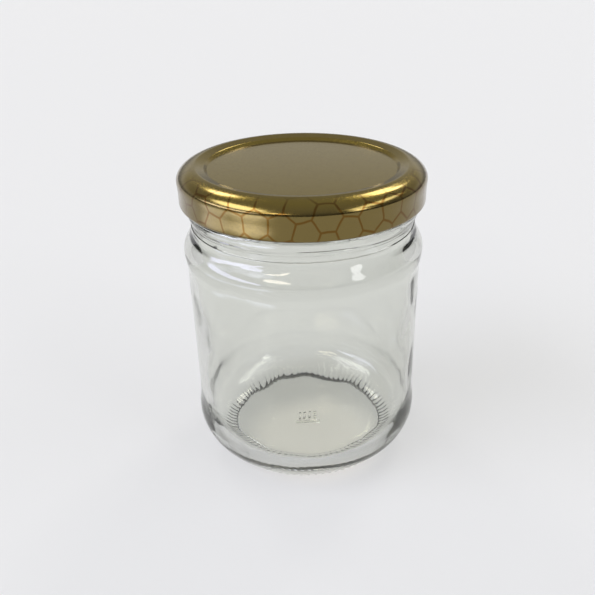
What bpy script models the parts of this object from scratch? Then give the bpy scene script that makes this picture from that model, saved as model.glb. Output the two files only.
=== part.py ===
"""Honey jar: a clear round glass jar, closed with a gold twist-off lid and standing empty.

Lengths below are in millimetres and are turned to metres where the meshes are made. +Z is up,
and the origin is the middle of the ring that the jar stands on. Each turned piece is described
by the section of its wall, a closed line of (radius, height) points, spun about the Z axis.
"""

import math

import bmesh
import bpy
from mathutils import Vector

MM = 0.001
GAP = 0.3

# Jar, outside
GLASS_SIDES = 84
BODY_R = 34.05
SHOULDER_R = 34.66
HEEL_R = 34.67
HEEL_TOP_Z = 19.0
HEEL_RING_Z = 12.8
HEEL_ARC_R = 11.9
HEEL_ARC_ANGLE = math.radians(47)
PANEL_TOP_Z = 61.0
SHOULDER_Z = 66.6
NECK_R = 31.87
NECK_Z = 73.65

# Jar, foot
BEARING_INNER_R = 25.0
BEARING_OUTER_R = 26.5
FLANK_Z = 0.5
KNURL_TOP_Z = 2.2
KNURL_HEIGHT = 0.35
INNER_FLANK_ANGLE = math.radians(238)
PUSH_UP_R = 23.9
PUSH_UP_EDGE_Z = 0.95
PUSH_UP_Z = 1.9
DOME_MIDDLE = 0.6

# Jar, mouth
BEAD_R = 32.75
BEAD_TOP_Z = 79.6
BEAD_CREST_Z = 78.7
BEAD_BELLY_Z = 77.3
BEAD_LOW_Z = 75.6
FINISH_R = 31.7
MOUTH_R = 28.8
RIM_Z = 88.2

# Jar, inside
WALL = 2.4
INNER_CORNER_R = 11.0
FLOOR_EDGE_Z = 3.4
FLOOR_Z = 4.3
INNER_SHOULDER_Z = 62.0
INNER_NECK_Z = 77.0

# Threads: four ribs round the mouth, each falling gently from its high end
THREADS = 4
THREAD_R = 33.15
THREAD_ROOT_R = 31.2
THREAD_SPAN = math.radians(74)
THREAD_HIGH_Z = 85.6
THREAD_LOW_Z = 83.6
THREAD_HALF_ROOT = 0.85
THREAD_HALF_CREST = 0.35
THREAD_LEVEL_SHARE = 0.77
THREAD_END_RISE = 0.25
THREAD_RAMP_SHARE = 0.2
THREAD_STEPS = 12

# Lid
LID_SIDES = 64
SHEET = 0.3
PANEL_R = 26.4
PANEL_Z = 88.95
LEDGE_R = 27.3
LEDGE_Z = 89.72
CROWN_R = 29.6
CROWN_Z = 90.35
CORNER_R = 34.75
CORNER_Z = 87.1
CORNER_POWER = 1.8
SKIRT_R = 34.6
SKIRT_BEND_Z = 84.0
LID_LOW_Z = 80.12
CURL_R = 0.85
CURL_TURN = math.radians(225)
CURL_TOP_Z = 82.0

# Lugs: four tongues on the lid's curl that hook under the threads
LUG_INNER_R = 32.4
LUG_OUTER_R = 33.9
LUG_LOW_Z = 81.2
LUG_HIGH_Z = 82.4
LUG_SPAN = math.radians(17)
LUG_TAPER = 0.45
LUG_STEPS = 5
LUG_TURN = math.radians(30)

# Sealing ring under the lid
SEAL_SIDES = 48
SEAL_INNER_R = 28.9
SEAL_OUTER_R = 31.7
SEAL_TOP_Z = 89.15
SEAL_CHAMFER = 0.25

# Meshing
MERGE = 0.01
ON_RING = 0.05
CRISP_ANGLE = math.radians(35)

# Finishes: linear colour, roughness, metallic, transmission
GLASS_FINISH = ((0.93, 0.95, 0.93), 0.02, 0.0, 1.0)
GOLD_FINISH = ((0.36, 0.25, 0.09), 0.3, 1.0, 0.0)
SEAL_FINISH = ((0.55, 0.53, 0.48), 0.5, 0.0, 0.0)


def clear_scene():
    """Remove every object that the open file starts with."""
    for old in list(bpy.data.objects):
        bpy.data.objects.remove(old, do_unlink=True)


def make_material(name, finish):
    """Return a Principled material with the finish's colour, roughness and so on."""
    colour, roughness, metallic, transmission = finish
    material = bpy.data.materials.new(name)
    material.use_nodes = True
    shader = material.node_tree.nodes["Principled BSDF"]
    shader.inputs["Base Color"].default_value = (*colour, 1.0)
    shader.inputs["Roughness"].default_value = roughness
    shader.inputs["Metallic"].default_value = metallic
    shader.inputs["Transmission Weight"].default_value = transmission
    return material


def ease(start, end, steps):
    """Points from start to end, both left out, whose radius swells as half a cosine wave."""
    (start_r, start_z), (end_r, end_z) = start, end
    points = []
    for step in range(1, steps):
        share = step / steps
        swell = (1 - math.cos(math.pi * share)) / 2
        points.append((start_r + (end_r - start_r) * swell, start_z + (end_z - start_z) * share))
    return points


def step_up(start, end, steps):
    """Points from start to end, both left out, whose height swells as half a cosine wave."""
    turned = ease(start[::-1], end[::-1], steps)
    return [point[::-1] for point in turned]


def arc(centre, radius, start, end, steps):
    """Points on an arc from the angle start to the angle end, both included."""
    angles = (start + (end - start) * step / steps for step in range(steps + 1))
    return [(centre[0] + radius * math.cos(a), centre[1] + radius * math.sin(a)) for a in angles]


def foot_section():
    """The foot from the middle of the push-up, over the bearing ring and up the heel."""
    bulge = PUSH_UP_Z - PUSH_UP_EDGE_Z
    dome_middle = (PUSH_UP_R * DOME_MIDDLE, PUSH_UP_Z - bulge * DOME_MIDDLE**2)
    heel_centre = (HEEL_R - HEEL_ARC_R, HEEL_RING_Z)
    heel = arc(heel_centre, HEEL_ARC_R, -HEEL_ARC_ANGLE, 0.0, steps=5)
    return (
        [
            (0.0, PUSH_UP_Z),
            dome_middle,
            (PUSH_UP_R, PUSH_UP_EDGE_Z),
            (BEARING_INNER_R - FLANK_Z, FLANK_Z),
            (BEARING_INNER_R, 0.0),
            (BEARING_OUTER_R, 0.0),
            (cone_radius(FLANK_Z), FLANK_Z),
            (cone_radius(KNURL_TOP_Z), KNURL_TOP_Z),
        ]
        + heel
    )


def cone_radius(height):
    """Radius of the straight foot, which runs on from the low end of the heel's arc."""
    arc_end_r = HEEL_R - HEEL_ARC_R * (1 - math.cos(HEEL_ARC_ANGLE))
    arc_end_z = HEEL_RING_Z - HEEL_ARC_R * math.sin(HEEL_ARC_ANGLE)
    return arc_end_r - (arc_end_z - height) * math.tan(HEEL_ARC_ANGLE)


def wall_section():
    """The outside from the heel ring up to the rim: label panel, shoulder, neck, bead, mouth."""
    heel = (HEEL_R, HEEL_RING_Z)
    panel_low = (BODY_R, HEEL_TOP_Z)
    panel_high = (BODY_R, PANEL_TOP_Z)
    shoulder = (SHOULDER_R, SHOULDER_Z)
    neck = (NECK_R, NECK_Z)
    return (
        ease(heel, panel_low, steps=3)
        + [panel_low, panel_high]
        + ease(panel_high, shoulder, steps=3)
        + [shoulder]
        + ease(shoulder, neck, steps=6)
        + [
            neck,
            (NECK_R, BEAD_LOW_Z),
            (BEAD_R, BEAD_BELLY_Z),
            (BEAD_R, BEAD_CREST_Z),
            (FINISH_R, BEAD_TOP_Z),
        ]
    )


def inside_section():
    """The rim and the inside, from the outer edge of the rim down to the middle of the floor."""
    rim_r = (FINISH_R - MOUTH_R) / 2
    rim = arc((FINISH_R - rim_r, RIM_Z - rim_r), rim_r, 0.0, math.pi, steps=5)
    inner_r = BODY_R - WALL
    mouth_low = (MOUTH_R, INNER_NECK_Z)
    inner_shoulder = (inner_r, INNER_SHOULDER_Z)
    corner_centre = (inner_r - INNER_CORNER_R, FLOOR_EDGE_Z + INNER_CORNER_R)
    corner = arc(corner_centre, INNER_CORNER_R, 0.0, -math.pi / 2, steps=5)
    bulge = FLOOR_Z - FLOOR_EDGE_Z
    floor_middle = (corner_centre[0] * DOME_MIDDLE, FLOOR_Z - bulge * DOME_MIDDLE**2)
    return (
        rim
        + [mouth_low]
        + ease(mouth_low, inner_shoulder, steps=4)
        + [inner_shoulder]
        + corner
        + [floor_middle, (0.0, FLOOR_Z)]
    )


def lid_corner(inset, steps):
    """The rounded corner from the ring's crown to the top of the skirt, this far inside the sheet."""
    width = CORNER_R - CROWN_R - inset
    height = CROWN_Z - CORNER_Z - inset
    points = [(CROWN_R, CORNER_Z + height)]
    for step in range(1, steps):
        angle = math.pi / 2 * step / steps
        across = math.sin(angle) ** (2 / CORNER_POWER)
        upward = math.cos(angle) ** (2 / CORNER_POWER)
        points.append((CROWN_R + width * across, CORNER_Z + height * upward))
    points.append((CROWN_R + width, CORNER_Z))
    return points


def lid_section():
    """The lid's sheet: panel, step, ring, corner, skirt and the curl at its lower edge."""
    panel = (PANEL_R, PANEL_Z)
    ledge = (LEDGE_R, LEDGE_Z)
    crown = (CROWN_R, CROWN_Z)
    curl_centre = (SKIRT_R - CURL_R, LID_LOW_Z + CURL_R)
    outer = (
        [(0.0, PANEL_Z), panel]
        + step_up(panel, ledge, steps=3)
        + [ledge]
        + step_up(ledge, crown, steps=2)
        + lid_corner(0.0, steps=5)
        + [(SKIRT_R, SKIRT_BEND_Z)]
        + arc(curl_centre, CURL_R, 0.0, -CURL_TURN, steps=6)
    )
    inner_ledge = (LEDGE_R, LEDGE_Z - SHEET)
    inner_panel = (PANEL_R, PANEL_Z - SHEET)
    inner = (
        [(SKIRT_R - SHEET, CURL_TOP_Z), (SKIRT_R - SHEET, SKIRT_BEND_Z)]
        + lid_corner(SHEET, steps=3)[::-1]
        + [inner_ledge]
        + step_up(inner_ledge, inner_panel, steps=2)
        + [inner_panel, (0.0, PANEL_Z - SHEET)]
    )
    return outer + inner


def seal_section():
    """The sealing ring, a flat band with its lower edges rounded off by chamfers."""
    low = RIM_Z + GAP
    return [
        (SEAL_INNER_R, SEAL_TOP_Z),
        (SEAL_INNER_R, low + SEAL_CHAMFER),
        (SEAL_INNER_R + SEAL_CHAMFER, low),
        (SEAL_OUTER_R - SEAL_CHAMFER, low),
        (SEAL_OUTER_R, low + SEAL_CHAMFER),
        (SEAL_OUTER_R, SEAL_TOP_Z),
        (SEAL_INNER_R, SEAL_TOP_Z),
    ]


def spin_section(section, sides):
    """Return a bmesh of the section turned once round the Z axis, closed and facing out."""
    shape = bmesh.new()
    points = [shape.verts.new(Vector((r, 0.0, z)) * MM) for r, z in section]
    edges = [shape.edges.new(pair) for pair in zip(points, points[1:])]
    bmesh.ops.spin(
        shape,
        geom=points + edges,
        cent=(0.0, 0.0, 0.0),
        axis=(0.0, 0.0, 1.0),
        angle=2 * math.pi,
        steps=sides,
    )
    bmesh.ops.remove_doubles(shape, verts=shape.verts[:], dist=MERGE * MM)
    bmesh.ops.recalc_face_normals(shape, faces=shape.faces[:])
    return shape


def cut_knurls(shape):
    """Split the edges round the foot's flanks and push each new point out, as a small rib."""
    flanks = [
        (BEARING_INNER_R - FLANK_Z, INNER_FLANK_ANGLE),
        (cone_radius(FLANK_Z), -HEEL_ARC_ANGLE),
    ]
    for radius, angle in flanks:
        push = Vector((math.cos(angle), math.sin(angle))) * KNURL_HEIGHT
        edges = [edge for edge in shape.edges if lies_on_ring(edge, radius, FLANK_Z)]
        result = bmesh.ops.subdivide_edges(shape, edges=edges, cuts=1)
        for point in result["geom_inner"]:
            if not isinstance(point, bmesh.types.BMVert):
                continue
            outward = Vector((point.co.x, point.co.y)).normalized()
            reach = radius + push.x
            point.co = Vector((outward.x * reach, outward.y * reach, FLANK_Z + push.y)) * MM


def lies_on_ring(edge, radius, height):
    """Tell whether both ends of an edge lie on the ring of this radius and height."""
    for point in edge.verts:
        off_radius = abs(math.hypot(point.co.x, point.co.y) - radius * MM)
        off_height = abs(point.co.z - height * MM)
        if off_radius > ON_RING * MM or off_height > ON_RING * MM:
            return False
    return True


def add_object(name, shape, material):
    """Turn a bmesh into a named object with smooth round faces and crisp corners."""
    mesh = bpy.data.meshes.new(name)
    shape.to_mesh(mesh)
    shape.free()
    mesh.materials.append(material)
    mesh.shade_smooth()
    mesh.set_sharp_from_angle(angle=CRISP_ANGLE)
    part = bpy.data.objects.new(name, mesh)
    bpy.context.scene.collection.objects.link(part)
    return part


def sweep_loops(loops):
    """Return a closed bmesh through a row of loops that have as many points each."""
    shape = bmesh.new()
    rows = [[shape.verts.new(Vector(point) * MM) for point in loop] for loop in loops]
    for row, following in zip(rows, rows[1:]):
        for i, point in enumerate(row):
            j = (i + 1) % len(row)
            shape.faces.new((point, row[j], following[j], following[i]))
    shape.faces.new(rows[0])
    shape.faces.new(rows[-1])
    bmesh.ops.recalc_face_normals(shape, faces=shape.faces[:])
    return shape


def round_axis(angle, section):
    """Place (radius, height) points in the upright plane at this angle round the axis."""
    return [(r * math.cos(angle), r * math.sin(angle), z) for r, z in section]


def thread_loops(start_angle):
    """Sections of one thread rib, which grows out of the glass at both ends."""
    loops = []
    for step in range(THREAD_STEPS + 1):
        share = step / THREAD_STEPS
        height = THREAD_HIGH_Z + (THREAD_LOW_Z - THREAD_HIGH_Z) * min(1.0, share / THREAD_LEVEL_SHARE)
        rise = min(1.0, THREAD_END_RISE + min(share, 1 - share) / THREAD_RAMP_SHARE)
        crest_r = FINISH_R + (THREAD_R - FINISH_R) * rise
        section = [
            (THREAD_ROOT_R, height - THREAD_HALF_ROOT),
            (FINISH_R, height - THREAD_HALF_ROOT),
            (crest_r, height - THREAD_HALF_CREST),
            (crest_r, height + THREAD_HALF_CREST),
            (FINISH_R, height + THREAD_HALF_ROOT),
            (THREAD_ROOT_R, height + THREAD_HALF_ROOT),
        ]
        loops.append(round_axis(start_angle + THREAD_SPAN * share, section))
    return loops


def lug_loops(mid_angle):
    """Sections of one lug, a tongue that stands in from the lid's curl."""
    loops = []
    for step in range(LUG_STEPS + 1):
        share = step / LUG_STEPS
        taper = 0.0 if 0 < step < LUG_STEPS else LUG_TAPER
        inner_r = LUG_INNER_R + taper
        section = [
            (inner_r, LUG_LOW_Z + taper / 2),
            (LUG_OUTER_R, LUG_LOW_Z),
            (LUG_OUTER_R, LUG_HIGH_Z),
            (inner_r, LUG_HIGH_Z - taper / 2),
        ]
        loops.append(round_axis(mid_angle + LUG_SPAN * (share - 0.5), section))
    return loops


def union_pieces(body, name, loop_rows, material):
    """Join pieces to the body with one exact Boolean union, then remove the pieces."""
    pieces = bpy.data.collections.new(name)
    bpy.context.scene.collection.children.link(pieces)
    for number, loops in enumerate(loop_rows):
        piece = add_object(f"{name}_{number}", sweep_loops(loops), material)
        bpy.context.scene.collection.objects.unlink(piece)
        pieces.objects.link(piece)
    union = body.modifiers.new(name, "BOOLEAN")
    union.operation = "UNION"
    union.operand_type = "COLLECTION"
    union.collection = pieces
    union.solver = "EXACT"
    bpy.context.view_layer.update()
    joined = bpy.data.meshes.new_from_object(body.evaluated_get(bpy.context.evaluated_depsgraph_get()))
    body.modifiers.remove(union)
    body.data = joined
    joined.name = body.name
    for piece in list(pieces.objects):
        bpy.data.objects.remove(piece, do_unlink=True)
    bpy.data.collections.remove(pieces)


def make_jar(material):
    """The glass jar: one spun wall with knurls under its foot and threads round its mouth."""
    shape = spin_section(foot_section() + wall_section() + inside_section(), GLASS_SIDES)
    cut_knurls(shape)
    jar = add_object("glass_jar", shape, material)
    starts = [2 * math.pi * number / THREADS for number in range(THREADS)]
    union_pieces(jar, "thread", [thread_loops(angle) for angle in starts], material)
    return jar


def make_lid(material):
    """The lid: one drawn sheet with a curled edge and four lugs."""
    lid = add_object("lid", spin_section(lid_section(), LID_SIDES), material)
    middles = [LUG_TURN + 2 * math.pi * number / THREADS for number in range(THREADS)]
    union_pieces(lid, "lug", [lug_loops(angle) for angle in middles], material)
    return lid


def make_seal(material):
    """The soft ring in the lid's channel, which the rim of the glass would press into."""
    return add_object("lid_seal", spin_section(seal_section(), SEAL_SIDES), material)


def main():
    """Build the jar, the lid and the sealing ring."""
    clear_scene()
    make_jar(make_material("clear_glass", GLASS_FINISH))
    make_lid(make_material("gold_lacquer", GOLD_FINISH))
    make_seal(make_material("sealing_compound", SEAL_FINISH))


main()
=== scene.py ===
"""Honey jar: a clear glass jar with a gold honeycomb lid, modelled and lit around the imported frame.

Sizes are in millimetres and angles in degrees, in the frame's own axes: +Z is up, and the origin
is the middle of the ring that the jar stands on. Each turned piece is a section, a chain of
(radius, height) points, spun about the Z axis, and the details that break the round are then
worked into it.
"""

import logging
import math
from collections.abc import Callable, Sequence
from dataclasses import dataclass
from enum import Enum

import bmesh
import bpy
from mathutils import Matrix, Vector
from mathutils.kdtree import KDTree


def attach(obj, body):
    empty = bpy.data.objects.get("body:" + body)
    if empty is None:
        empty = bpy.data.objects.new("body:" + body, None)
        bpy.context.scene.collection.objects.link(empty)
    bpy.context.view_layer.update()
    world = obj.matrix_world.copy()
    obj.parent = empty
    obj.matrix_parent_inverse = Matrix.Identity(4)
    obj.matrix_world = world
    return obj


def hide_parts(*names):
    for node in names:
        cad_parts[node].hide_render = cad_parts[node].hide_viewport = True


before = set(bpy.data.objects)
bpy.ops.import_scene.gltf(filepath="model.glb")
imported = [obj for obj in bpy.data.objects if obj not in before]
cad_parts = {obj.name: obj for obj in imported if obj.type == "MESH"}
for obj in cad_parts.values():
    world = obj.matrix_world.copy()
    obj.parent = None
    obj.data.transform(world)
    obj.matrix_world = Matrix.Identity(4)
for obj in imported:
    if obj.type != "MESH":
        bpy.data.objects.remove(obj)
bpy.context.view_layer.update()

MM = 0.001
BODY = "root"

Point = tuple[float, float]
Place = tuple[float, float, float]
Colour = tuple[float, float, float, float]
Stop = tuple[float, str]
Socket = bpy.types.NodeSocket
Tree = bpy.types.NodeTree

log = logging.getLogger("honey_jar")


class Slot(Enum):
    """The names of the material slots."""

    GLASS = "clear_glass"
    GOLD = "gold_lacquer"
    SEAL = "sealing_compound"


def srgb(code: str) -> Colour:
    """Turn an sRGB hex colour into linear light.

    Args:
        code: Six hex digits, such as "c8b070".

    Returns:
        The linear red, green and blue, and an alpha of 1.
    """
    shares = (int(code[i : i + 2], 16) / 255 for i in (0, 2, 4))
    red, green, blue = (s / 12.92 if s <= 0.04045 else ((s + 0.055) / 1.055) ** 2.4 for s in shares)
    return red, green, blue, 1.0


def add_node(tree: Tree, kind: str, settings: dict, inputs: dict) -> bpy.types.Node:
    """Add a node to a tree with its settings and its inputs.

    Args:
        tree: The tree that takes the node.
        kind: The node's type name.
        settings: Values of the node's own properties, by name.
        inputs: Values or sockets for its inputs, by name or number.

    Returns:
        The new node.
    """
    node = tree.nodes.new(kind)
    for name, value in settings.items():
        setattr(node, name, value)
    for name, value in inputs.items():
        if isinstance(value, Socket):
            tree.links.new(value, node.inputs[name])
        else:
            node.inputs[name].default_value = value
    return node


def start_material(name: str) -> tuple[bpy.types.Material, Tree, bpy.types.Node]:
    """Start a material with a Principled shader.

    Args:
        name: The material's name.

    Returns:
        The material, its tree and its shader.
    """
    material = bpy.data.materials.new(name)
    material.use_nodes = True
    tree = material.node_tree
    return material, tree, tree.nodes["Principled BSDF"]


def ease(start: Point, end: Point, steps: int) -> list[Point]:
    """Trace a soft step whose radius swells as half a cosine wave.

    Args:
        start: Where the step starts, which is left out of the result.
        end: Where it ends, which is left out too.
        steps: How many stretches it is cut into.

    Returns:
        The points between start and end.
    """
    points = []
    for number in range(1, steps):
        share = number / steps
        swell = (1 - math.cos(math.pi * share)) / 2
        radius = start[0] + (end[0] - start[0]) * swell
        points.append((radius, start[1] + (end[1] - start[1]) * share))
    return points


def rise(start: Point, end: Point, steps: int) -> list[Point]:
    """Trace a soft step whose height swells as half a cosine wave.

    Args:
        start: Where the step starts, which is left out of the result.
        end: Where it ends, which is left out too.
        steps: How many stretches it is cut into.

    Returns:
        The points between start and end.
    """
    return [point[::-1] for point in ease(start[::-1], end[::-1], steps)]


def arc(centre: Point, radius: float, start: float, end: float, steps: int) -> list[Point]:
    """Trace an arc.

    Args:
        centre: The arc's centre.
        radius: The arc's radius.
        start: The angle it starts at, in degrees from the outward direction.
        end: The angle it ends at.
        steps: How many stretches it is cut into.

    Returns:
        The arc's points, with both ends.
    """
    angles = [math.radians(start + (end - start) * n / steps) for n in range(steps + 1)]
    return [(centre[0] + radius * math.cos(a), centre[1] + radius * math.sin(a)) for a in angles]


def straight(start: Point, end: Point, steps: int) -> list[Point]:
    """Trace a straight line.

    Args:
        start: Where the line starts.
        end: Where it ends.
        steps: How many stretches it is cut into.

    Returns:
        The line's points, with both ends.
    """
    shares = [number / steps for number in range(steps + 1)]
    return [(start[0] + (end[0] - start[0]) * s, start[1] + (end[1] - start[1]) * s) for s in shares]


def trace(name: str, section: Sequence[Point]) -> bpy.types.Object:
    """Lay out a section as a chain of points, extruded from one point, and stay in edit mode.

    Args:
        name: The new object's name.
        section: The chain's points, as radius and height.

    Returns:
        The new object.
    """
    bpy.ops.object.select_all(action="DESELECT")
    bpy.ops.mesh.primitive_plane_add(size=MM)
    piece = bpy.context.object
    piece.name = name
    bpy.ops.object.mode_set(mode="EDIT")
    bpy.ops.mesh.select_mode(type="VERT")
    bpy.ops.mesh.select_all(action="SELECT")
    bpy.ops.mesh.merge(type="CENTER")
    bpy.ops.transform.translate(value=(section[0][0] * MM, 0.0, section[0][1] * MM))
    for before, after in zip(section, section[1:]):
        step = ((after[0] - before[0]) * MM, 0.0, (after[1] - before[1]) * MM)
        bpy.ops.mesh.extrude_vertices_move(TRANSFORM_OT_translate={"value": step})
    return piece


def spin(name: str, section: Sequence[Point], columns: int) -> bpy.types.Object:
    """Turn a section once round the Z axis into a closed shell, and stay in edit mode.

    Args:
        name: The new object's name.
        section: The section's points, as radius and height.
        columns: How many columns of faces the turn makes.

    Returns:
        The new object.
    """
    piece = trace(name, section)
    bpy.ops.mesh.select_all(action="SELECT")
    bpy.ops.mesh.spin(steps=columns, angle=math.tau, center=(0, 0, 0), axis=(0, 0, 1))
    bpy.ops.mesh.select_all(action="SELECT")
    bpy.ops.mesh.remove_doubles(threshold=0.001 * MM)
    bpy.ops.mesh.normals_make_consistent(inside=False)
    return piece


def select(piece: bpy.types.Object, wanted: Callable[[Vector], bool]) -> None:
    """Select the points of the piece in edit mode whose places pass a test.

    Args:
        piece: The piece that is in edit mode.
        wanted: The test, which reads a place in millimetres.
    """
    bpy.ops.mesh.select_all(action="DESELECT")
    mesh = bmesh.from_edit_mesh(piece.data)
    for point in mesh.verts:
        point.select_set(wanted(point.co / MM))
    mesh.select_flush_mode()
    bmesh.update_edit_mesh(piece.data)


def sweep(
    piece: bpy.types.Object, turn: float, drops: Sequence[float], swells: Sequence[float]
) -> None:
    """Close the section in edit mode with a face and extrude it step by step round the axis.

    Args:
        piece: The piece in edit mode, whose chain of points is the section; not used.
        turn: The angle of one step, in degrees.
        drops: How far each step falls.
        swells: How far out each of the sections lies, as a share of its full radius.
    """
    bpy.ops.mesh.select_all(action="SELECT")
    bpy.ops.mesh.edge_face_add()
    bpy.ops.transform.resize(value=(swells[0], swells[0], 1.0), center_override=(0, 0, 0))
    for number, drop in enumerate(drops):
        move = {"value": (0.0, 0.0, -drop * MM)}
        bpy.ops.mesh.extrude_region_move(TRANSFORM_OT_translate=move)
        angle = math.radians(turn)
        bpy.ops.transform.rotate(value=-angle, orient_axis="Z", center_override=(0, 0, 0))
        swell = swells[number + 1] / swells[number]
        bpy.ops.transform.resize(value=(swell, swell, 1.0), center_override=(0, 0, 0))
    bpy.ops.mesh.select_all(action="SELECT")
    bpy.ops.mesh.normals_make_consistent(inside=False)
    bpy.ops.object.mode_set(mode="OBJECT")


def join_to(piece: bpy.types.Object, tool: bpy.types.Object) -> None:
    """Fuse another closed piece into this one, and remove the other.

    Args:
        piece: The piece that grows.
        tool: The piece that is fused to it.
    """
    union = piece.modifiers.new("union", "BOOLEAN")
    union.operation = "UNION"
    union.solver = "MANIFOLD"
    union.object = tool
    apply(piece, union)
    piece.data.materials.clear()
    bpy.data.objects.remove(tool)


def apply(piece: bpy.types.Object, modifier: bpy.types.Modifier) -> None:
    """Apply a modifier of a piece.

    Args:
        piece: The piece that holds the modifier.
        modifier: The modifier.
    """
    bpy.ops.object.select_all(action="DESELECT")
    piece.select_set(True)
    bpy.context.view_layer.objects.active = piece
    bpy.ops.object.modifier_apply(modifier=modifier.name)


def finish_piece(
    piece: bpy.types.Object, materials: Sequence[bpy.types.Material], crease: float
) -> None:
    """Shade a piece smooth, give it its materials, and let it ride on the jar's body.

    Args:
        piece: The finished mesh.
        materials: Its materials, in the order of its faces' material numbers.
        crease: The angle, in degrees, past which an edge stays crisp.
    """
    bpy.ops.object.select_all(action="DESELECT")
    piece.select_set(True)
    bpy.context.view_layer.objects.active = piece
    bpy.ops.object.shade_smooth_by_angle(angle=math.radians(crease))
    for material in materials:
        piece.data.materials.append(material)
    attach(piece, BODY)
    log.info("%s: %d faces", piece.name, len(piece.data.polygons))


@dataclass(frozen=True)
class ClearGlass:
    """Soda-lime container glass, blown in a mould: bright and clear, with a faint grey-green edge."""

    surface: str = "f7f8f4"
    body: str = "a2a49c"
    absorption: float = 42.0
    index: float = 1.52
    smudge: float = 0.03
    smudge_size: float = 14.0
    ripple_size: float = 9.0
    ripple_depth: float = 0.012

    def material(self) -> bpy.types.Material:
        """Make the glass: a clear body, faintly rippled, with the dullness of handling.

        Returns:
            The glass.
        """
        material, tree, shader = start_material("soda_lime_glass")
        shader.inputs["Base Color"].default_value = srgb(self.surface)
        depth = add_node(
            tree,
            "ShaderNodeVolumeAbsorption",
            {},
            {"Color": srgb(self.body), "Density": self.absorption},
        ).outputs[0]
        tree.links.new(depth, tree.nodes["Material Output"].inputs["Volume"])
        shader.inputs["IOR"].default_value = self.index
        shader.inputs["Transmission Weight"].default_value = 1.0
        place = add_node(tree, "ShaderNodeTexCoord", {}, {}).outputs["Object"]
        smear = add_node(
            tree,
            "ShaderNodeTexNoise",
            {},
            {"Vector": place, "Scale": 1 / (self.smudge_size * MM), "Detail": 3.0},
        )
        dull = add_node(
            tree,
            "ShaderNodeMapRange",
            {},
            {0: smear.outputs[0], 1: 0.5, 2: 0.8, 3: 0.0, 4: self.smudge},
        )
        tree.links.new(dull.outputs[0], shader.inputs["Roughness"])
        wave = add_node(
            tree,
            "ShaderNodeTexNoise",
            {},
            {"Vector": place, "Scale": 1 / (self.ripple_size * MM), "Detail": 1.0},
        )
        bump = add_node(
            tree,
            "ShaderNodeBump",
            {},
            {"Strength": 1.0, "Distance": self.ripple_depth * MM, "Height": wave.outputs[0]},
        )
        tree.links.new(bump.outputs[0], shader.inputs["Normal"])
        return material


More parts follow.
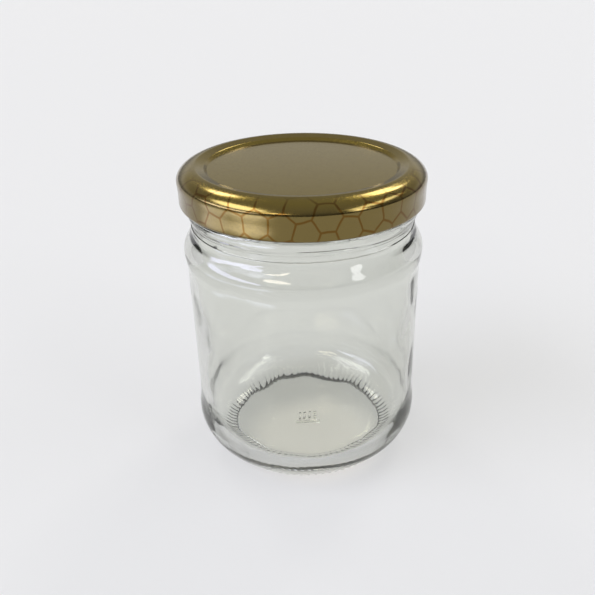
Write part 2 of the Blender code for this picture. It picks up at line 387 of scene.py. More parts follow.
@dataclass(frozen=True)
class GoldLacquer:
    """Tinplate under clear gold lacquer, with a thin orange honeycomb printed before drawing.

    It gives a satin metal that mirrors in soft streaks. The print stretches with the sheet, and it
    is faint on the raised ring and full on the skirt. Past the corner the gold turns to a darker
    copy, as painted shade for the darker room that the skirt mirrors.
    """

    top_gold: str = "8d7a37"
    # Painted shade: a darker copy of the gold for the skirt and the outer corner.
    skirt_gold_painted_shade: str = "766638"
    line_orange: str = "66490c"
    faint: float = 0.1
    faint_reach: Point = (30.0, 34.0)
    roughness: float = 0.2
    coat: float = 0.35
    coat_roughness: float = 0.1
    cell: float = 7.2
    cell_turn: float = 42.43
    cell_start: Point = (5.3, 0.52)
    line_width: float = 0.56
    line_soft: float = 0.15
    wobble: float = 0.45
    wobble_size: float = 5.0
    grain_size: float = 0.7
    grain_depth: float = 0.011
    sheet_width: float = 100.0
    skirt_shade_reach: Point = (31.5, 36.5)

    def material(self) -> bpy.types.Material:
        """Make the printed side of the sheet.

        Returns:
            The lacquered metal.
        """
        material, tree, shader = start_material("gold_lacquered_tinplate")
        shader.inputs["Metallic"].default_value = 1.0
        shader.inputs["Coat Weight"].default_value = self.coat
        shader.inputs["Coat Roughness"].default_value = self.coat_roughness
        sheet = self.sheet_place(tree)
        reach = add_node(tree, "ShaderNodeVectorMath", {"operation": "LENGTH"}, {0: sheet}).outputs[1]
        start, full = self.faint_reach
        ink = add_node(
            tree, "ShaderNodeMapRange", {}, {0: reach, 1: start, 2: full, 3: self.faint, 4: 1.0}
        ).outputs[0]
        line = add_node(
            tree, "ShaderNodeMath", {"operation": "MULTIPLY"}, {0: self.honeycomb(tree, sheet), 1: ink}
        ).outputs[0]
        # Painted shade: from the corner down, the gold turns to its darker copy, standing in for the
        # dim reflection on the skirt.
        low, high = self.skirt_shade_reach
        skirt = add_node(
            tree,
            "ShaderNodeMapRange",
            {"interpolation_type": "SMOOTHSTEP"},
            {0: reach, 1: low, 2: high},
        ).outputs[0]
        gold = add_node(
            tree,
            "ShaderNodeMix",
            {"data_type": "RGBA"},
            {0: skirt, 6: srgb(self.top_gold), 7: srgb(self.skirt_gold_painted_shade)},
        ).outputs[2]
        colour = add_node(
            tree, "ShaderNodeMix", {"data_type": "RGBA"}, {0: line, 6: gold, 7: srgb(self.line_orange)}
        ).outputs[2]
        tree.links.new(colour, shader.inputs["Base Color"])
        self.grain(tree, shader)
        return material

    def sheet_place(self, tree: Tree) -> Socket:
        """Find the place on the flat printed sheet.

        Args:
            tree: The material's tree.

        Returns:
            The place, in millimetres from the sheet's middle.
        """
        sheet = add_node(tree, "ShaderNodeUVMap", {"uv_map": "sheet"}, {}).outputs[0]
        middle = add_node(
            tree, "ShaderNodeVectorMath", {"operation": "SUBTRACT"}, {0: sheet, 1: (0.5, 0.5, 0.0)}
        )
        scaled = add_node(
            tree,
            "ShaderNodeVectorMath",
            {"operation": "SCALE"},
            {0: middle.outputs[0], "Scale": self.sheet_width},
        )
        return scaled.outputs[0]

    def honeycomb(self, tree: Tree, sheet: Socket) -> Socket:
        """Draw the honeycomb's lines.

        Args:
            tree: The material's tree.
            sheet: The place on the sheet, in millimetres.

        Returns:
            A mask that is 1 on the lines.
        """
        noise = add_node(
            tree,
            "ShaderNodeTexNoise",
            {},
            {"Vector": sheet, "Scale": 1 / self.wobble_size, "Detail": 1.0},
        ).outputs[1]
        centred = add_node(
            tree, "ShaderNodeVectorMath", {"operation": "SUBTRACT"}, {0: noise, 1: (0.5, 0.5, 0.5)}
        ).outputs[0]
        shifted = add_node(
            tree,
            "ShaderNodeVectorMath",
            {"operation": "MULTIPLY_ADD"},
            {0: centred, 1: (2 * self.wobble, 2 * self.wobble, 0.0), 2: sheet},
        ).outputs[0]
        turned = add_node(
            tree,
            "ShaderNodeVectorRotate",
            {"rotation_type": "Z_AXIS"},
            {"Vector": shifted, "Angle": -math.radians(self.cell_turn)},
        ).outputs[0]
        half = (self.cell / 2, self.cell * math.sqrt(3) / 2, 0.0)
        folded = []
        for start in (self.cell_start, (self.cell_start[0] + half[0], self.cell_start[1] + half[1])):
            moved = add_node(
                tree, "ShaderNodeVectorMath", {"operation": "SUBTRACT"}, {0: turned, 1: (*start, 0.0)}
            ).outputs[0]
            fold = add_node(
                tree,
                "ShaderNodeVectorMath",
                {"operation": "WRAP"},
                {0: moved, 1: half, 2: (-half[0], -half[1], 0.0)},
            ).outputs[0]
            reach = add_node(
                tree, "ShaderNodeVectorMath", {"operation": "LENGTH"}, {0: fold}
            ).outputs[1]
            folded.append((fold, reach))
        nearer = add_node(
            tree, "ShaderNodeMath", {"operation": "LESS_THAN"}, {0: folded[0][1], 1: folded[1][1]}
        ).outputs[0]
        cell = add_node(
            tree,
            "ShaderNodeMix",
            {"data_type": "VECTOR"},
            {0: nearer, 4: folded[1][0], 5: folded[0][0]},
        ).outputs[1]
        positive = add_node(
            tree, "ShaderNodeVectorMath", {"operation": "ABSOLUTE"}, {0: cell}
        ).outputs[0]
        slant = add_node(
            tree,
            "ShaderNodeVectorMath",
            {"operation": "DOT_PRODUCT"},
            {0: positive, 1: (0.5, math.sqrt(3) / 2, 0.0)},
        ).outputs[1]
        across = add_node(tree, "ShaderNodeSeparateXYZ", {}, {0: positive}).outputs[0]
        rim = add_node(
            tree, "ShaderNodeMath", {"operation": "MAXIMUM"}, {0: across, 1: slant}
        ).outputs[0]
        line_start = self.cell / 2 - self.line_width / 2
        return add_node(
            tree,
            "ShaderNodeMapRange",
            {"interpolation_type": "SMOOTHSTEP"},
            {0: rim, 1: line_start - self.line_soft, 2: line_start + self.line_soft},
        ).outputs[0]

    def grain(self, tree: Tree, shader: bpy.types.Node) -> None:
        """Give the shader the fine uneven grain of rolled sheet under lacquer.

        Args:
            tree: The material's tree.
            shader: Its Principled shader.
        """
        place = add_node(tree, "ShaderNodeTexCoord", {}, {}).outputs["Object"]
        speck = add_node(
            tree,
            "ShaderNodeTexNoise",
            {},
            {"Vector": place, "Scale": 1 / (self.grain_size * MM), "Detail": 3.0},
        ).outputs[0]
        rough = add_node(
            tree,
            "ShaderNodeMapRange",
            {},
            {0: speck, 1: 0.3, 2: 0.7, 3: self.roughness - 0.05, 4: self.roughness + 0.05},
        ).outputs[0]
        tree.links.new(rough, shader.inputs["Roughness"])
        bump = add_node(
            tree,
            "ShaderNodeBump",
            {},
            {"Strength": 1.0, "Distance": self.grain_depth * MM, "Height": speck},
        ).outputs[0]
        tree.links.new(bump, shader.inputs["Normal"])


@dataclass(frozen=True)
class InsideEnamel:
    """White food-can enamel, baked on the lid's inner side: plain, smooth and half glossy."""

    white: str = "e6e4dc"
    roughness: float = 0.3
    mottle_size: float = 3.0

    def material(self) -> bpy.types.Material:
        """Make the unprinted side of the sheet, faintly mottled.

        Returns:
            The enamel.
        """
        material, tree, shader = start_material("white_enamel")
        shader.inputs["Base Color"].default_value = srgb(self.white)
        place = add_node(tree, "ShaderNodeTexCoord", {}, {}).outputs["Object"]
        mottle = add_node(
            tree, "ShaderNodeTexNoise", {}, {"Vector": place, "Scale": 1 / (self.mottle_size * MM)}
        ).outputs[0]
        rough = add_node(
            tree,
            "ShaderNodeMapRange",
            {},
            {0: mottle, 3: self.roughness - 0.06, 4: self.roughness + 0.06},
        ).outputs[0]
        tree.links.new(rough, shader.inputs["Roughness"])
        return material


@dataclass(frozen=True)
class SealingCompound:
    """Foamed soft vinyl, poured into the lid and baked: cream, matt and faintly pitted."""

    cream: str = "ddd6c4"
    roughness: float = 0.55
    pit_size: float = 0.4
    pit_depth: float = 0.03

    def material(self) -> bpy.types.Material:
        """Make the sealing compound, with its fine pits.

        Returns:
            The compound.
        """
        material, tree, shader = start_material("vinyl_sealing_compound")
        shader.inputs["Base Color"].default_value = srgb(self.cream)
        shader.inputs["Roughness"].default_value = self.roughness
        place = add_node(tree, "ShaderNodeTexCoord", {}, {}).outputs["Object"]
        pits = add_node(
            tree, "ShaderNodeTexNoise", {}, {"Vector": place, "Scale": 1 / (self.pit_size * MM)}
        ).outputs[0]
        bump = add_node(
            tree,
            "ShaderNodeBump",
            {},
            {"Strength": 1.0, "Distance": self.pit_depth * MM, "Height": pits},
        ).outputs[0]
        tree.links.new(bump, shader.inputs["Normal"])
        return material


@dataclass(frozen=True)
class GlassJar:
    """The blown jar: foot, heel, label panel, shoulder, neck, bead, threads and rim."""

    columns: int = 336
    knurls: int = 84
    body_r: float = 34.05
    shoulder_r: float = 34.66
    heel_r: float = 34.67
    heel_z: float = 12.8
    heel_top_z: float = 19.0
    heel_arc_r: float = 11.9
    heel_arc_angle: float = 47.0
    panel_top_z: float = 61.0
    shoulder_z: float = 66.6
    neck_r: float = 31.87
    neck_z: float = 73.65
    bead_r: float = 32.75
    bead_low_z: float = 75.6
    seam_z: float = 73.75
    seam: float = 0.2
    groove: float = 0.2
    bead_top_z: float = 79.6
    finish_r: float = 31.7
    mouth_r: float = 28.8
    rim_z: float = 88.2
    wall: float = 2.4
    corner_r: float = 11.0
    floor_edge_z: float = 3.4
    floor_z: float = 4.3
    inner_shoulder_z: float = 62.0
    inner_neck_z: float = 77.0
    push_up_r: float = 24.1
    push_up_z: float = 1.5
    push_up_edge_z: float = 0.95
    flat_r: float = 10.0
    bearing: Point = (24.9, 26.6)
    knurl_height: float = 0.25
    knurl_top_z: float = 2.3
    flank: float = 0.3
    threads: int = 4
    thread_r: float = 33.15
    thread_low_z: float = 84.75
    thread_height: float = 1.7
    thread_turn: float = 74.0
    thread_fall: float = 2.0
    ripple_size: float = 16.0
    ripple: float = 0.55
    mark_depth: float = 0.85
    mark_bevel: float = 0.12
    crease: float = 40.0

    def build(self, glass: bpy.types.Material) -> bpy.types.Object:
        """Model the jar and dress it.

        Args:
            glass: The jar's material.

        Returns:
            The finished piece.
        """
        section = self.foot() + self.outside() + self.inside()
        jar = spin("jar_glass", section, self.columns)
        self.press_knurls(jar)
        bpy.ops.object.mode_set(mode="OBJECT")
        self.ripple_inside(jar)
        self.add_threads(jar)
        self.add_mould_mark(jar)
        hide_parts("glass_jar")
        finish_piece(jar, [glass], self.crease)
        return jar

    def cone_r(self, height: float) -> float:
        """Find how wide the straight foot below the heel's arc is.

        Args:
            height: The height asked about.

        Returns:
            The radius there.
        """
        angle = math.radians(self.heel_arc_angle)
        low_r = self.heel_r - self.heel_arc_r * (1 - math.cos(angle))
        low_z = self.heel_z - self.heel_arc_r * math.sin(angle)
        return low_r - (low_z - height) * math.tan(angle)

    def foot(self) -> list[Point]:
        """Trace the underside and the heel, from the middle of the push-up outward.

        Returns:
            That stretch of the section.
        """
        lift = self.knurl_height
        bulge = self.push_up_z - self.push_up_edge_z
        span = self.push_up_r - self.flat_r
        dome = [(0.0, self.push_up_z), (self.flat_r, self.push_up_z)]
        for share in (0.25, 0.5, 0.75, 1.0):
            dome.append((self.flat_r + span * share, self.push_up_z - bulge * share**2))
        inner, outer = self.bearing
        bearing = [
            (inner - 0.4, lift + self.flank),
            (inner - 0.1, lift + 0.08),
            (inner + 0.3, lift),
            (outer - 0.2, lift),
            (outer + 0.15, lift + 0.1),
        ]
        cone = [(self.cone_r(z), z) for z in (lift + 0.45, 1.4, 2.2, 3.0)]
        centre = (self.heel_r - self.heel_arc_r, self.heel_z)
        return dome + bearing + cone + arc(centre, self.heel_arc_r, -self.heel_arc_angle, 0.0, 14)

    def outside(self) -> list[Point]:
        """Trace the outside, from the heel ring to the mouth's wall.

        Returns:
            That stretch of the section.
        """
        heel = (self.heel_r, self.heel_z)
        panel_low = (self.body_r, self.heel_top_z)
        panel_high = (self.body_r, self.panel_top_z)
        shoulder = (self.shoulder_r, self.shoulder_z)
        neck = (self.neck_r, self.neck_z)
        seam_out = (self.neck_r + self.seam, self.seam_z + 0.12)
        neck_high = (self.neck_r + 0.05, self.bead_low_z - 0.3)
        bead_low = (self.neck_r - self.groove, self.bead_low_z - 0.08)
        bead_foot = (self.neck_r + 0.3, self.bead_low_z + 0.12)
        bead_belly = (self.bead_r, self.bead_low_z + 1.9)
        bead_high = (self.bead_r, self.bead_top_z - 1.0)
        wall_low = (self.finish_r, self.bead_top_z)
        return (
            ease(heel, panel_low, 8)
            + straight(panel_low, panel_high, 14)
            + ease(panel_high, shoulder, 8)
            + [shoulder]
            + ease(shoulder, neck, 16)
            + [neck, seam_out, (self.neck_r, self.seam_z + 0.3), neck_high, bead_low, bead_foot]
            + ease(bead_foot, bead_belly, 6)
            + [bead_belly, bead_high]
            + ease(bead_high, wall_low, 6)
            + [wall_low]
        )

    def inside(self) -> list[Point]:
        """Trace the rim and the inside, down to the middle of the floor.

        Returns:
            That stretch of the section.
        """
        rim_r = (self.finish_r - self.mouth_r) / 2
        inner_r = self.body_r - self.wall
        mouth = (self.mouth_r, self.inner_neck_z)
        shoulder = (inner_r, self.inner_shoulder_z)
        corner = (inner_r - self.corner_r, self.floor_edge_z + self.corner_r)
        bulge = self.floor_z - self.floor_edge_z
        floor = [(corner[0] * s, self.floor_z - bulge * s**2) for s in (0.8, 0.6, 0.4, 0.2, 0.0)]
        return (
            arc((self.finish_r - rim_r, self.rim_z - rim_r), rim_r, 0.0, 180.0, 12)
            + straight((self.mouth_r, self.rim_z - 2 * rim_r), mouth, 4)
            + ease(mouth, shoulder, 14)
            + straight(shoulder, (inner_r, corner[1] + 1.0), 16)
            + arc(corner, self.corner_r, 0.0, -90.0, 14)
            + floor
        )

    def press_knurls(self, jar: bpy.types.Object) -> None:
        """Push every fourth column of the foot's ring out, as the ribs that the jar stands on.

        Args:
            jar: The jar, in edit mode.
        """
        every = self.columns // self.knurls
        inner, outer = self.bearing[0] - 0.3, self.cone_r(self.knurl_top_z)

        def on_rib(place: Vector) -> bool:
            """Tell whether a point lies on the middle line of a rib.

            Args:
                place: The point's place.

            Returns:
                True where it does.
            """
            radius = math.hypot(place.x, place.y)
            column = round(math.atan2(place.y, place.x) / math.tau * self.columns)
            near = place.z < self.knurl_top_z and inner < radius < outer
            return near and column % every == 0

        select(jar, on_rib)
        bpy.ops.transform.shrink_fatten(value=self.knurl_height * MM)

    def ripple_inside(self, jar: bpy.types.Object) -> None:
        """Make the blown inner wall gently uneven, as air leaves it.

        Args:
            jar: The jar, in object mode.
        """
        inner = jar.vertex_groups.new(name="inside")
        limit = (self.body_r - self.wall * 0.6) * MM
        low, high = (self.floor_edge_z - 0.5) * MM, self.inner_neck_z * MM
        chosen = []
        for point in jar.data.vertices:
            if math.hypot(point.co.x, point.co.y) < limit and low < point.co.z < high:
                chosen.append(point.index)
        inner.add(chosen, 1.0, "REPLACE")
        clouds = bpy.data.textures.new("blown_ripple", "CLOUDS")
        clouds.noise_scale = self.ripple_size * MM
        ripple = jar.modifiers.new("ripple", "DISPLACE")
        ripple.texture = clouds
        ripple.texture_coords = "LOCAL"
        ripple.vertex_group = inner.name
        ripple.strength = self.ripple * MM
        apply(jar, ripple)

    def add_threads(self, jar: bpy.types.Object) -> None:
        """Fuse four ribs round the mouth, each falling as it goes, for the lid's lugs.

        Args:
            jar: The jar, in object mode.
        """
        steps = 20
        low, high = self.thread_low_z, self.thread_low_z + self.thread_height
        sunk = (self.finish_r - 0.05) / self.thread_r
        swells = [sunk + (1 - sunk) * min(1.0, n / 3, (steps - n) / 3) for n in range(steps + 1)]
        section = [
            (self.finish_r - 0.5, low),
            (self.finish_r, low),
            (self.thread_r - 0.15, low + 0.35),
            (self.thread_r, low + 0.65),
            (self.thread_r, high - 0.65),
            (self.thread_r - 0.15, high - 0.35),
            (self.finish_r, high),
            (self.finish_r - 0.5, high),
        ]
        for number in range(self.threads):
            rib = trace("thread", section)
            bpy.ops.mesh.select_all(action="SELECT")
            start = math.tau * number / self.threads
            bpy.ops.transform.rotate(value=-start, orient_axis="Z", center_override=(0, 0, 0))
            sweep(rib, self.thread_turn / steps, [self.thread_fall / steps] * steps, swells)
            join_to(jar, rib)

    def add_mould_mark(self, jar: bpy.types.Object) -> None:
        """Fuse a small generic mark to the flat of the underside: a row of bars over a line.

        Args:
            jar: The jar, in object mode.
        """
        marks = [((0.0, -2.6), (7.6, 0.6))]
        marks += [((x, 1.0), (0.75, 3.6)) for x in (-2.4, -0.8, 0.8)]
        marks += [((2.6, 2.3), (1.0, 1.0)), ((2.6, -0.3), (1.0, 1.0))]
        for (x, y), (width, height) in marks:
            bpy.ops.object.select_all(action="DESELECT")
            place = (x * MM, y * MM, (self.push_up_z - 0.05) * MM)
            bpy.ops.mesh.primitive_cube_add(size=1.0, location=place)
            bar = bpy.context.object
            bar.scale = (width * MM, height * MM, 2 * self.mark_depth * MM)
            bpy.ops.object.transform_apply(location=True, rotation=True, scale=True)
            bpy.ops.object.mode_set(mode="EDIT")
            bpy.ops.mesh.select_all(action="SELECT")
            bpy.ops.mesh.bevel(offset=self.mark_bevel * MM, segments=2, affect="EDGES")
            bpy.ops.object.mode_set(mode="OBJECT")
            join_to(jar, bar)


@dataclass(frozen=True)
class TwistOffLid:
    """The drawn lid: panel, step, ring, rounded corner, skirt, curl and lugs."""

    columns: int = 288
    skirt_r: float = 34.68
    corner_r: float = 34.85
    corner_z: float = 86.85
    crown_r: float = 29.6
    crown_z: float = 90.35
    corner_power: float = 1.8
    skirt_top_z: float = 84.0
    curl_top_z: float = 82.4
    low_z: float = 80.12
    sheet: float = 0.3
    panel_r: float = 26.4
    panel_z: float = 88.95
    ledge_r: float = 27.2
    ledge_z: float = 89.72
    ring_power: float = 1.05
    curl_r: float = 0.85
    draw: float = 0.985
    lugs: int = 4
    lug_turn: float = 30.0
    lug_span: float = 17.0
    lug_inner_r: float = 32.4
    lug_root_r: float = 33.9
    lug_low_z: float = 81.1
    lug_high_z: float = 82.4
    crease: float = 40.0

    def build(self, printed: bpy.types.Material, plain: bpy.types.Material) -> bpy.types.Object:
        """Model the lid's sheet and dress it.

        Args:
            printed: The material of its outer side.
            plain: The material of its inner side.

        Returns:
            The finished piece.
        """
        outside = self.outside()
        lid = spin("lid_sheet", outside + self.inside(), self.columns)
        bpy.ops.object.mode_set(mode="OBJECT")
        self.lay_out_sheet(lid, outside)
        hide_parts("lid")
        finish_piece(lid, [printed, plain], self.crease)
        return lid

    def outside(self) -> list[Point]:
        """Trace the printed side, from the panel's middle to inside the curl.

        Returns:
            That stretch of the section.
        """
        panel = (self.panel_r, self.panel_z)
        ledge = (self.ledge_r, self.ledge_z)
        curl = (self.skirt_r - self.curl_r, self.low_z + self.curl_r)
        corner_foot = (self.corner_r - 0.03, self.corner_z - 0.8)
        return (
            straight((0.0, self.panel_z), panel, 6)
            + straight(panel, ledge, 8)[1:-1]
            + self.ring(16)
            + self.corner(0.0, 18)
            + straight(corner_foot, (self.skirt_r, self.skirt_top_z), 3)
            + [(self.skirt_r, self.curl_top_z)]
            + arc(curl, self.curl_r, 0.0, -225.0, 16)
        )

    def ring(self, steps: int) -> list[Point]:
        """Trace the ring's inner slope, from the ledge up to just before the crown.

        Args:
            steps: How many stretches it is cut into.

        Returns:
            That stretch of the section.
        """
        width, height = self.crown_r - self.ledge_r, self.crown_z - self.ledge_z
        shares = [1 - number / steps for number in range(steps)]
        return [(self.crown_r - width * s, self.crown_z - height * s**self.ring_power) for s in shares]

    def corner(self, inset: float, steps: int) -> list[Point]:
        """Return the rounded corner from the ring's crown out to the top of the skirt.

        Args:
            inset: How far inside the outer surface it lies.
            steps: How many stretches it is cut into.

        Returns:
            The points, with both ends.
        """
        width = self.corner_r - self.crown_r - inset
        height = self.crown_z - self.corner_z - inset
        power = 2 / self.corner_power
        points = []
        for number in range(steps + 1):
            angle = math.pi / 2 * number / steps
            across = math.sin(angle) ** power if number else 0.0
            upward = math.cos(angle) ** power if number < steps else 0.0
            points.append((self.crown_r + width * across, self.corner_z + height * upward))
        return points

    def inside(self) -> list[Point]:
        """Trace the inner side, from above the curl to the panel's middle.

        Returns:
            That stretch of the section.
        """
        low = (self.skirt_r - self.sheet, self.low_z + 2.2 * self.curl_r)
        panel = (self.panel_r, self.panel_z - self.sheet)
        ledge = (self.ledge_r, self.ledge_z - self.sheet)
        return (
            [low, (self.skirt_r - self.sheet, self.skirt_top_z)]
            + self.corner(self.sheet, 10)[::-1]
            + [ledge]
            + rise(ledge, panel, 6)
            + [panel, (0.0, self.panel_z - self.sheet)]
        )

    def lay_out_sheet(self, lid: bpy.types.Object, outside: Sequence[Point]) -> None:
        """Map the lid to the flat sheet that it was drawn from, and mark its inner faces.

        Args:
            lid: The lid, in object mode.
            outside: The printed side of its section.
        """
        inside = self.inside()
        tree = KDTree(len(outside) + len(inside))
        reaches: list[float | None] = []
        reach = 0.0
        for number, (radius, height) in enumerate([*outside, *inside]):
            tree.insert((radius, height, 0.0), number)
            if number >= len(outside):
                reaches.append(None)
                continue
            reach += math.dist(outside[max(number - 1, 0)], (radius, height))
            reaches.append(reach * self.draw)
        tree.balance()
        along = []
        for point in lid.data.vertices:
            place = (math.hypot(point.co.x, point.co.y) / MM, point.co.z / MM, 0.0)
            along.append(reaches[tree.find(place)[1]])
        sheet = lid.data.uv_layers.new(name="sheet")
        for face in lid.data.polygons:
            inner = any(along[index] is None for index in face.vertices)
            face.material_index = 1 if inner else 0
            for corner in face.loop_indices:
                index = lid.data.loops[corner].vertex_index
                place = lid.data.vertices[index].co
                angle = math.atan2(place.y, place.x)
                distance = (along[index] or 0.0) / GoldLacquer.sheet_width
                across, upward = distance * math.cos(angle), distance * math.sin(angle)
                sheet.data[corner].uv = (0.5 + across, 0.5 + upward)

    def build_lugs(self, plain: bpy.types.Material) -> bpy.types.Object:
        """Model the four lugs that reach in from the curl, and dress them.

        Args:
            plain: The lugs' material.

        Returns:
            The finished piece.
        """
        steps = 12
        section = [
            (self.lug_inner_r, self.lug_low_z + 0.4),
            (self.lug_inner_r + 0.3, self.lug_low_z + 0.1),
            (self.lug_root_r, self.lug_low_z),
            (self.lug_root_r, self.lug_high_z),
            (self.lug_inner_r + 0.3, self.lug_high_z),
            (self.lug_inner_r, self.lug_high_z - 0.3),
        ]
        swells = [1.02 - 0.02 * min(1.0, n / 2, (steps - n) / 2) for n in range(steps + 1)]
        lugs = []
        for number in range(self.lugs):
            lug = trace("lid_lugs", section)
            bpy.ops.mesh.select_all(action="SELECT")
            start = math.radians(self.lug_turn - self.lug_span / 2 + 360.0 * number / self.lugs)
            bpy.ops.transform.rotate(value=-start, orient_axis="Z", center_override=(0, 0, 0))
            sweep(lug, self.lug_span / steps, [0.0] * steps, swells)
            lugs.append(lug)
        bpy.ops.object.select_all(action="DESELECT")
        for lug in lugs:
            lug.select_set(True)
        bpy.context.view_layer.objects.active = lugs[0]
        bpy.ops.object.join()
        finish_piece(lugs[0], [plain], self.crease)
        return lugs[0]


@dataclass(frozen=True)
class SealRing:
    """The ring of sealing compound in the lid's channel, dented by the rim."""

    columns: int = 192
    inner_r: float = 28.7
    outer_r: float = 32.0
    low_z: float = 88.26
    top_z: float = 89.3
    lip: float = 0.35
    dent: float = 0.06
    crease: float = 50.0

    def build(self, compound: bpy.types.Material) -> bpy.types.Object:
        """Model the ring and dress it.

        Args:
            compound: The ring's material.

        Returns:
            The finished piece.
        """
        middle = (self.inner_r + self.outer_r) / 2
        groove = [
            (self.inner_r, self.low_z + self.lip),
            (self.inner_r + 0.25, self.low_z),
            (middle - 0.9, self.low_z),
            (middle - 0.5, self.low_z + self.dent),
            (middle + 0.5, self.low_z + self.dent),
            (middle + 0.9, self.low_z),
            (self.outer_r - 0.25, self.low_z),
            (self.outer_r, self.low_z + self.lip),
        ]
        inner_top, outer_top = (self.inner_r, self.top_z), (self.outer_r, self.top_z)
        ring = spin("seal_ring", [inner_top, *groove, outer_top, inner_top], self.columns)
        bpy.ops.object.mode_set(mode="OBJECT")
        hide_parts("lid_seal")
        finish_piece(ring, [compound], self.crease)
        return ring


@dataclass(frozen=True)
class SoftBox:
    """A soft studio light: a far glowing oval, with its place and size as angles."""

    azimuth: float
    elevation: float
    width: float
    height: float
    radiance: float
    colour: str
    soft: float = 0.12

    def glow(
        self, tree: Tree, direction: Socket, light: Socket
    ) -> Socket:
        """Add the panel to the surround's light.

        Args:
            tree: The surround's tree.
            direction: The direction looked in.
            light: The light from that direction so far.

        Returns:
            The light with the panel's own added.
        """
        turn, lift = math.radians(self.azimuth), math.radians(self.elevation)
        level = math.cos(lift)
        ahead = Vector((math.sin(turn) * level, -math.cos(turn) * level, math.sin(lift)))
        across = ahead.cross(Vector((0, 0, 1))).normalized()
        upward = across.cross(ahead)
        depth = add_node(
            tree, "ShaderNodeVectorMath", {"operation": "DOT_PRODUCT"}, {0: direction, 1: ahead}
        ).outputs[1]
        depth = add_node(
            tree, "ShaderNodeMath", {"operation": "MAXIMUM"}, {0: depth, 1: 0.001}
        ).outputs[0]
        offsets = []
        for axis, span in ((across, self.width), (upward, self.height)):
            reach = add_node(
                tree, "ShaderNodeVectorMath", {"operation": "DOT_PRODUCT"}, {0: direction, 1: axis}
            ).outputs[1]
            half = math.tan(math.radians(span / 2))
            size = add_node(
                tree, "ShaderNodeMath", {"operation": "MULTIPLY"}, {0: depth, 1: half}
            ).outputs[0]
            share = add_node(tree, "ShaderNodeMath", {"operation": "DIVIDE"}, {0: reach, 1: size})
            offsets.append(share.outputs[0])
        offset = add_node(tree, "ShaderNodeCombineXYZ", {}, {0: offsets[0], 1: offsets[1]}).outputs[0]
        reach = add_node(tree, "ShaderNodeVectorMath", {"operation": "LENGTH"}, {0: offset}).outputs[1]
        mask = add_node(
            tree,
            "ShaderNodeMapRange",
            {"interpolation_type": "SMOOTHSTEP"},
            {0: reach, 1: 1 - self.soft, 2: 1 + self.soft, 3: 1.0, 4: 0.0},
        )
        colour = Vector(srgb(self.colour)[:3]) * self.radiance
        return add_node(
            tree,
            "ShaderNodeVectorMath",
            {"operation": "MULTIPLY_ADD"},
            {0: mask.outputs[0], 1: colour, 2: light},
        ).outputs[0]


@dataclass(frozen=True)
class PaintedLightPool:
    """A painted pool of light on the table: a brighter round patch, with its middle and radius in
    millimetres.
    """

    middle: Place
    radius: float
    radiance: float
    colour: str


@dataclass(frozen=True)
class OpalTable:
    """Opal acrylic over lamps: matt and softly glowing all over, with painted pools of light where it
    is brighter.
    """

    tone: str = "98999b"
    roughness: float = 0.8
    specular: float = 0.2
    glow: float = 0.48
    painted_light_pools: tuple[PaintedLightPool, ...] = (
        # Painted light: brighter round pools of glow on the table, the last one right under the jar.
        PaintedLightPool((-198.0, -188.0, 0.0), 115.0, 3.4, "dce0ff"),
        PaintedLightPool((-250.0, -45.0, 0.0), 92.0, 2.2, "d8ddff"),
        PaintedLightPool((2.0, -8.0, 0.0), 26.0, 0.22, "fff4e2"),
    )

    def material(self) -> bpy.types.Material:
        """Make the lit table top.

        Returns:
            The acrylic.
        """
        material, tree, shader = start_material("opal_light_table")
        shader.inputs["Base Color"].default_value = srgb(self.tone)
        shader.inputs["Roughness"].default_value = self.roughness
        shader.inputs["Specular IOR Level"].default_value = self.specular
        shader.inputs["Emission Strength"].default_value = 1.0
        place = add_node(tree, "ShaderNodeTexCoord", {}, {}).outputs["Object"]
        even = dict.fromkeys(range(3), self.glow)
        light = add_node(tree, "ShaderNodeCombineXYZ", {}, even).outputs[0]
        # Painted light: each pool adds a round patch of extra glow to the table.
        for pool in self.painted_light_pools:
            centre = [side * MM for side in pool.middle]
            radius = pool.radius * MM
            reach = add_node(
                tree, "ShaderNodeVectorMath", {"operation": "DISTANCE"}, {0: place, 1: centre}
            ).outputs[1]
            patch = add_node(
                tree,
                "ShaderNodeMapRange",
                {"interpolation_type": "SMOOTHSTEP"},
                {0: reach, 1: radius / 2, 2: radius, 3: pool.radiance, 4: 0.0},
            ).outputs[0]
            light = add_node(
                tree,
                "ShaderNodeVectorMath",
                {"operation": "MULTIPLY_ADD"},
                {0: patch, 1: srgb(pool.colour)[:3], 2: light},
            ).outputs[0]
        tree.links.new(light, shader.inputs["Emission Color"])
        return material


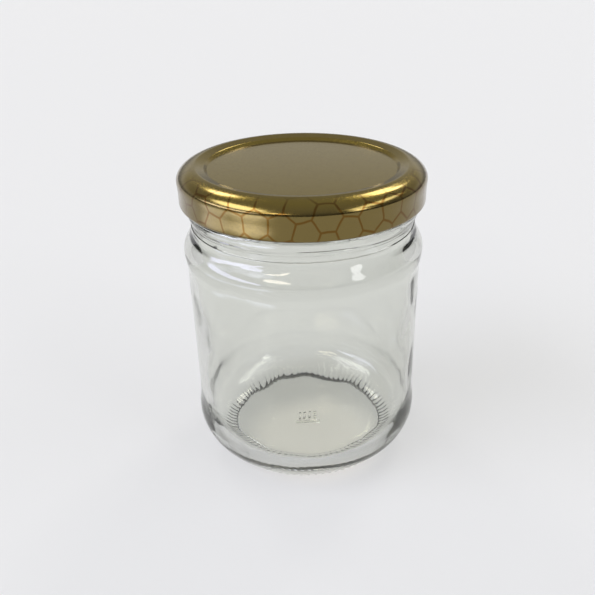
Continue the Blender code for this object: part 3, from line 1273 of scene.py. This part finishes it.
@dataclass(frozen=True)
class Studio:
    """A wide lit table under an even surround, dim behind the camera, with soft boxes round it."""

    floor_span: float = 12.0
    floor_depth: float = 0.02
    floor_drop: float = 0.1
    near_to_far: tuple[float, float] = (-0.2, 0.75)
    far_stops: tuple[Stop, ...] = (
        (0, "747474"),
        (7, "929290"),
        (13, "d4d2ce"),
        (17, "c2c0b6"),
        (20, "b2ad98"),
        (30, "a09e94"),
        (75, "acacac"),
    )
    near_stops: tuple[Stop, ...] = ((0, "4c4c4c"), (10, "5a5a5c"), (40, "9c9c9c"), (70, "acacac"))
    boxes: tuple[SoftBox, ...] = (
        SoftBox(144.0, 44.0, 8.0, 20.0, 8.0, "fffaf0"),
        SoftBox(155.0, 44.0, 6.0, 16.0, 7.0, "fffaf0"),
        SoftBox(-146.0, 45.0, 13.0, 13.0, 8.0, "fffaf4"),
        SoftBox(78.0, 40.0, 56.0, 12.0, 4.0, "ffffff"),
        SoftBox(-70.0, 15.0, 60.0, 10.0, 7.0, "dcdcff"),
        SoftBox(-70.0, 42.0, 48.0, 24.0, 6.0, "f8f8ff"),
        SoftBox(-27.0, 30.0, 24.0, 7.0, 8.0, "fff4e0"),
        SoftBox(52.0, 24.0, 12.0, 17.0, 6.0, "ffffff"),
    )

    def build(self) -> None:
        """Make the floor and the light round it."""
        self.build_floor()
        self.build_surround()

    def build_floor(self) -> None:
        """Make the floor, a wide slab of opal acrylic that glows a little, just under the foot."""
        bpy.ops.object.select_all(action="DESELECT")
        bpy.ops.mesh.primitive_plane_add(
            size=self.floor_span, location=(0, 0, -self.floor_drop * MM)
        )
        floor = bpy.context.object
        floor.name = "floor"
        bpy.ops.object.mode_set(mode="EDIT")
        bpy.ops.mesh.select_all(action="SELECT")
        bpy.ops.mesh.extrude_region_move(
            TRANSFORM_OT_translate={"value": (0.0, 0.0, -self.floor_depth)}
        )
        bpy.ops.mesh.select_all(action="SELECT")
        bpy.ops.mesh.normals_make_consistent(inside=False)
        bpy.ops.object.mode_set(mode="OBJECT")
        floor.data.materials.append(OpalTable().material())

    def build_surround(self) -> None:
        """Light the surround by its two ramps of height, far and near, and add the soft boxes."""
        world = bpy.data.worlds.new("soft_surround")
        bpy.context.scene.world = world
        world.use_nodes = True
        tree = world.node_tree
        direction = add_node(tree, "ShaderNodeTexCoord", {}, {}).outputs["Generated"]
        sides = add_node(tree, "ShaderNodeSeparateXYZ", {}, {0: direction})
        far = self.ramp(tree, sides.outputs[2], self.far_stops)
        near = self.ramp(tree, sides.outputs[2], self.near_stops)
        share = add_node(
            tree,
            "ShaderNodeMapRange",
            {"interpolation_type": "SMOOTHSTEP"},
            {0: sides.outputs[1], 1: self.near_to_far[0], 2: self.near_to_far[1]},
        ).outputs[0]
        light = add_node(
            tree, "ShaderNodeMix", {"data_type": "RGBA"}, {0: share, 6: near, 7: far}
        ).outputs[2]
        for box in self.boxes:
            light = box.glow(tree, direction, light)
        tree.links.new(light, tree.nodes["Background"].inputs["Color"])

    def ramp(
        self, tree: Tree, height: Socket, stops: Sequence[tuple[float, str]]
    ) -> Socket:
        """Grade the surround by height.

        Args:
            tree: The surround's tree.
            height: The sine of the elevation looked at.
            stops: Elevations, in degrees, with their colours.

        Returns:
            The colour at that height.
        """
        node = add_node(tree, "ShaderNodeValToRGB", {}, {0: height})
        elements = node.color_ramp.elements
        while len(elements) < len(stops):
            elements.new(1.0)
        for element, (elevation, colour) in zip(elements, stops):
            element.position = math.sin(math.radians(elevation))
            element.color = srgb(colour)
        return node.outputs[0]


@dataclass(frozen=True)
class PhotoCamera:
    """The camera that took the photograph, placed from the jar's own outlines."""

    place: Place = (0.0, -184.8, 145.2)
    pitch: float = 27.95
    yaw: float = 2.46
    focal_px: float = 679.5
    frame_px: float = 595.0
    axis_px: float = 330.95
    sensor: float = 36.0

    def build(self) -> None:
        """Place the camera and make it the scene's own."""
        bpy.ops.object.camera_add(location=[side * MM for side in self.place])
        camera = bpy.context.object
        camera.name = "photo_camera"
        camera.rotation_euler = (math.radians(90 - self.pitch), 0.0, -math.radians(self.yaw))
        camera.data.sensor_width = self.sensor
        camera.data.lens = self.sensor * self.focal_px / self.frame_px
        camera.data.shift_x = (self.frame_px / 2 - self.axis_px) / self.frame_px
        camera.data.clip_start = 0.01
        bpy.context.scene.camera = camera


def set_view() -> None:
    """Show colours as they are lit, with no film curve, and follow light through all the glass."""
    scene = bpy.context.scene
    scene.view_settings.view_transform = "Standard"
    scene.view_settings.look = "None"
    scene.cycles.max_bounces = 64
    scene.cycles.transmission_bounces = 64
    scene.cycles.glossy_bounces = 48


def main() -> None:
    """Build the jar, its lid and its seal, then the studio and the camera."""
    logging.basicConfig(level=logging.INFO, format="%(name)s %(message)s")
    GlassJar().build(ClearGlass().material())
    enamel = InsideEnamel().material()
    lid = TwistOffLid()
    lid.build(GoldLacquer().material(), enamel)
    lid.build_lugs(enamel)
    SealRing().build(SealingCompound().material())
    Studio().build()
    PhotoCamera().build()
    set_view()


if __name__ == "__main__":
    main()
